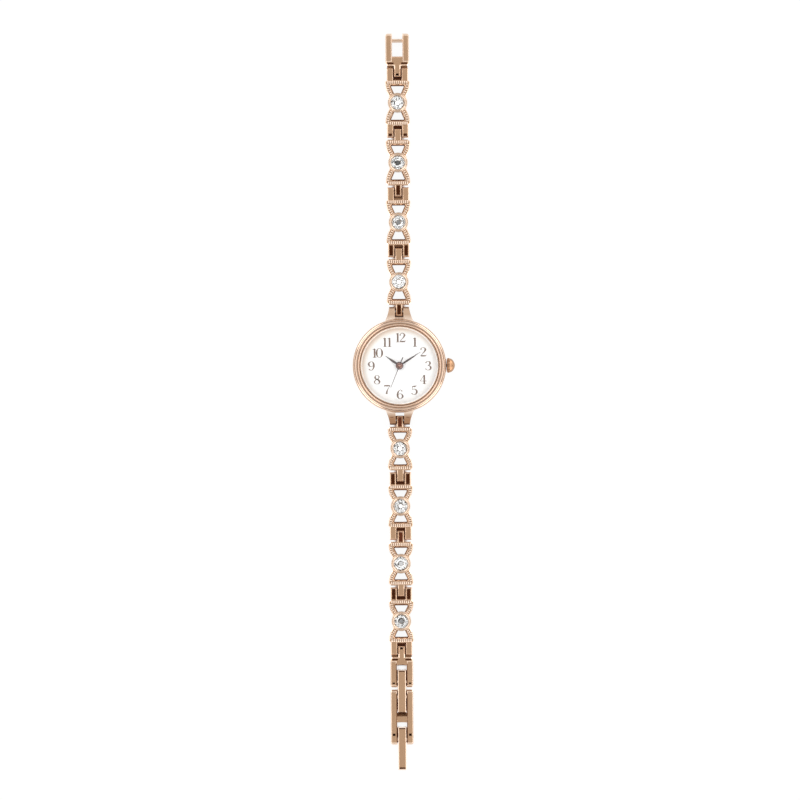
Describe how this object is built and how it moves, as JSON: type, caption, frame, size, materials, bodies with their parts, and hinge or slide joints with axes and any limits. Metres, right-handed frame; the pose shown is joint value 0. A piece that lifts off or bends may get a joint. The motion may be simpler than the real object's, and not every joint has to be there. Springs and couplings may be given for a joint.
{
  "type": "bracelet watch",
  "caption": "Ladies' bracelet watch in rose gold: small round case, white dial with numerals, openwork links set with clear stones, and a ladder clasp with snap levers.",
  "frame": {"origin": "centre of the case back's outer flat face, which is the watch's rest plane", "axes": "+X towards the crown at 3 o'clock, +Y along the bracelet towards 12 o'clock, +Z out of the dial"},
  "size_m": [0.0255, 0.1842, 0.0061],
  "materials": {
    "rose_gold": "polished rose gold plating on brass",
    "steel": "brushed",
    "crystal_glass": "clear, polished",
    "stone": "clear, faceted",
    "dial_white": "pearl white",
    "hand_brown": "satin",
    "brass": "satin",
    "copper": "lacquered copper wire",
    "board_green": "lacquered board"
  },
  "bodies": {
    "case": {"case_body": "rose_gold", "bezel": "rose_gold", "crystal": "crystal_glass", "case_back": "steel", "dial": "dial_white", "main_plate": "brass", "train_bridge": "brass", "battery": "steel", "battery_strap": "steel", "coil": "copper", "circuit_board": "board_green", "upper_spring_bar": "steel", "lower_spring_bar": "steel"},
    "end_ring": {"end_ring": "rose_gold"},
    "clasp_base": {"clasp_base": "rose_gold"},
    "inner_lever": {"inner_lever": "rose_gold"},
    "extension_link": {"extension_link": "rose_gold"},
    "outer_lever": {"outer_lever": "rose_gold"},
    "hour_hand": {"hour_hand": "hand_brown", "hour_wheel": "brass"},
    "minute_hand": {"minute_hand": "hand_brown", "cannon_pinion": "brass"},
    "second_hand": {"second_hand": "hand_brown", "seconds_wheel": "brass"},
    "crown_slide": {"setting_lever": "steel"},
    "crown": {"crown": "rose_gold", "stem": "steel"},
    "upper_link_1": {"upper_link_1": "rose_gold", "upper_stone_1": "stone"},
    "upper_link_2": {"upper_link_2": "rose_gold", "upper_stone_2": "stone"},
    "upper_link_3": {"upper_link_3": "rose_gold", "upper_stone_3": "stone"},
    "upper_link_4": {"upper_link_4": "rose_gold", "upper_stone_4": "stone"},
    "lower_link_1": {"lower_link_1": "rose_gold", "lower_stone_1": "stone"},
    "lower_link_2": {"lower_link_2": "rose_gold", "lower_stone_2": "stone"},
    "lower_link_3": {"lower_link_3": "rose_gold", "lower_stone_3": "stone"},
    "lower_link_4": {"lower_link_4": "rose_gold", "lower_stone_4": "stone"}
  },
  "joints": [
    {"name": "upper_hinge_1", "type": "hinge", "parent": "case", "child": "upper_link_1", "pos_m": [0, 0.0136, 0.0008], "axis": [-1, 0, 0], "range_deg": [-20, 35]},
    {"name": "upper_hinge_2", "type": "hinge", "parent": "upper_link_1", "child": "upper_link_2", "pos_m": [0, 0.02835, 0.0008], "axis": [-1, 0, 0], "range_deg": [-20, 35]},
    {"name": "upper_hinge_3", "type": "hinge", "parent": "upper_link_2", "child": "upper_link_3", "pos_m": [0, 0.0435, 0.0008], "axis": [-1, 0, 0], "range_deg": [-20, 35]},
    {"name": "upper_hinge_4", "type": "hinge", "parent": "upper_link_3", "child": "upper_link_4", "pos_m": [0, 0.05825, 0.0008], "axis": [-1, 0, 0], "range_deg": [-20, 35]},
    {"name": "upper_hinge_5", "type": "hinge", "parent": "upper_link_4", "child": "end_ring", "pos_m": [0, 0.0734, 0.0008], "axis": [-1, 0, 0], "range_deg": [-20, 35]},
    {"name": "lower_hinge_1", "type": "hinge", "parent": "case", "child": "lower_link_1", "pos_m": [0, -0.0136, 0.0008], "axis": [1, 0, 0], "range_deg": [-20, 35]},
    {"name": "lower_hinge_2", "type": "hinge", "parent": "lower_link_1", "child": "lower_link_2", "pos_m": [0, -0.0278, 0.0008], "axis": [1, 0, 0], "range_deg": [-20, 35]},
    {"name": "lower_hinge_3", "type": "hinge", "parent": "lower_link_2", "child": "lower_link_3", "pos_m": [0, -0.0424, 0.0008], "axis": [1, 0, 0], "range_deg": [-20, 35]},
    {"name": "lower_hinge_4", "type": "hinge", "parent": "lower_link_3", "child": "lower_link_4", "pos_m": [0, -0.0566, 0.0008], "axis": [1, 0, 0], "range_deg": [-20, 35]},
    {"name": "lower_hinge_5", "type": "hinge", "parent": "lower_link_4", "child": "clasp_base", "pos_m": [0, -0.0712, 0.0008], "axis": [1, 0, 0], "range_deg": [-20, 35]},
    {"name": "inner_lever_hinge", "type": "hinge", "parent": "clasp_base", "child": "inner_lever", "pos_m": [0, -0.0791, 0.0008], "axis": [1, 0, 0], "range_deg": [-20, 35]},
    {"name": "extension_hinge", "type": "hinge", "parent": "inner_lever", "child": "extension_link", "pos_m": [0, -0.0829, 0.0008], "axis": [1, 0, 0], "range_deg": [-20, 35]},
    {"name": "outer_lever_hinge", "type": "hinge", "parent": "extension_link", "child": "outer_lever", "pos_m": [0, -0.09345, 0.0008], "axis": [1, 0, 0], "range_deg": [-100, 20]},
    {"name": "crown_pull", "type": "slide", "parent": "case", "child": "crown_slide", "axis": [1, 0, 0], "range_m": [0, 0.0008]},
    {"name": "crown_turn", "type": "hinge", "parent": "crown_slide", "child": "crown", "pos_m": [0, 0, 0.0028], "axis": [1, 0, 0], "continuous": true},
    {"name": "hour_turn", "type": "hinge", "parent": "case", "child": "hour_hand", "pos_m": [0, 0, 0], "axis": [0, 0, -1], "continuous": true},
    {"name": "minute_turn", "type": "hinge", "parent": "case", "child": "minute_hand", "pos_m": [0, 0, 0], "axis": [0, 0, -1], "continuous": true},
    {"name": "second_turn", "type": "hinge", "parent": "case", "child": "second_hand", "pos_m": [0, 0, 0], "axis": [0, 0, -1], "continuous": true}
  ],
  "couplings": [
    {"joint": "minute_turn", "follows": "second_turn", "ratio": 0.016667},
    {"joint": "hour_turn", "follows": "second_turn", "ratio": 0.0013889}
  ]
}
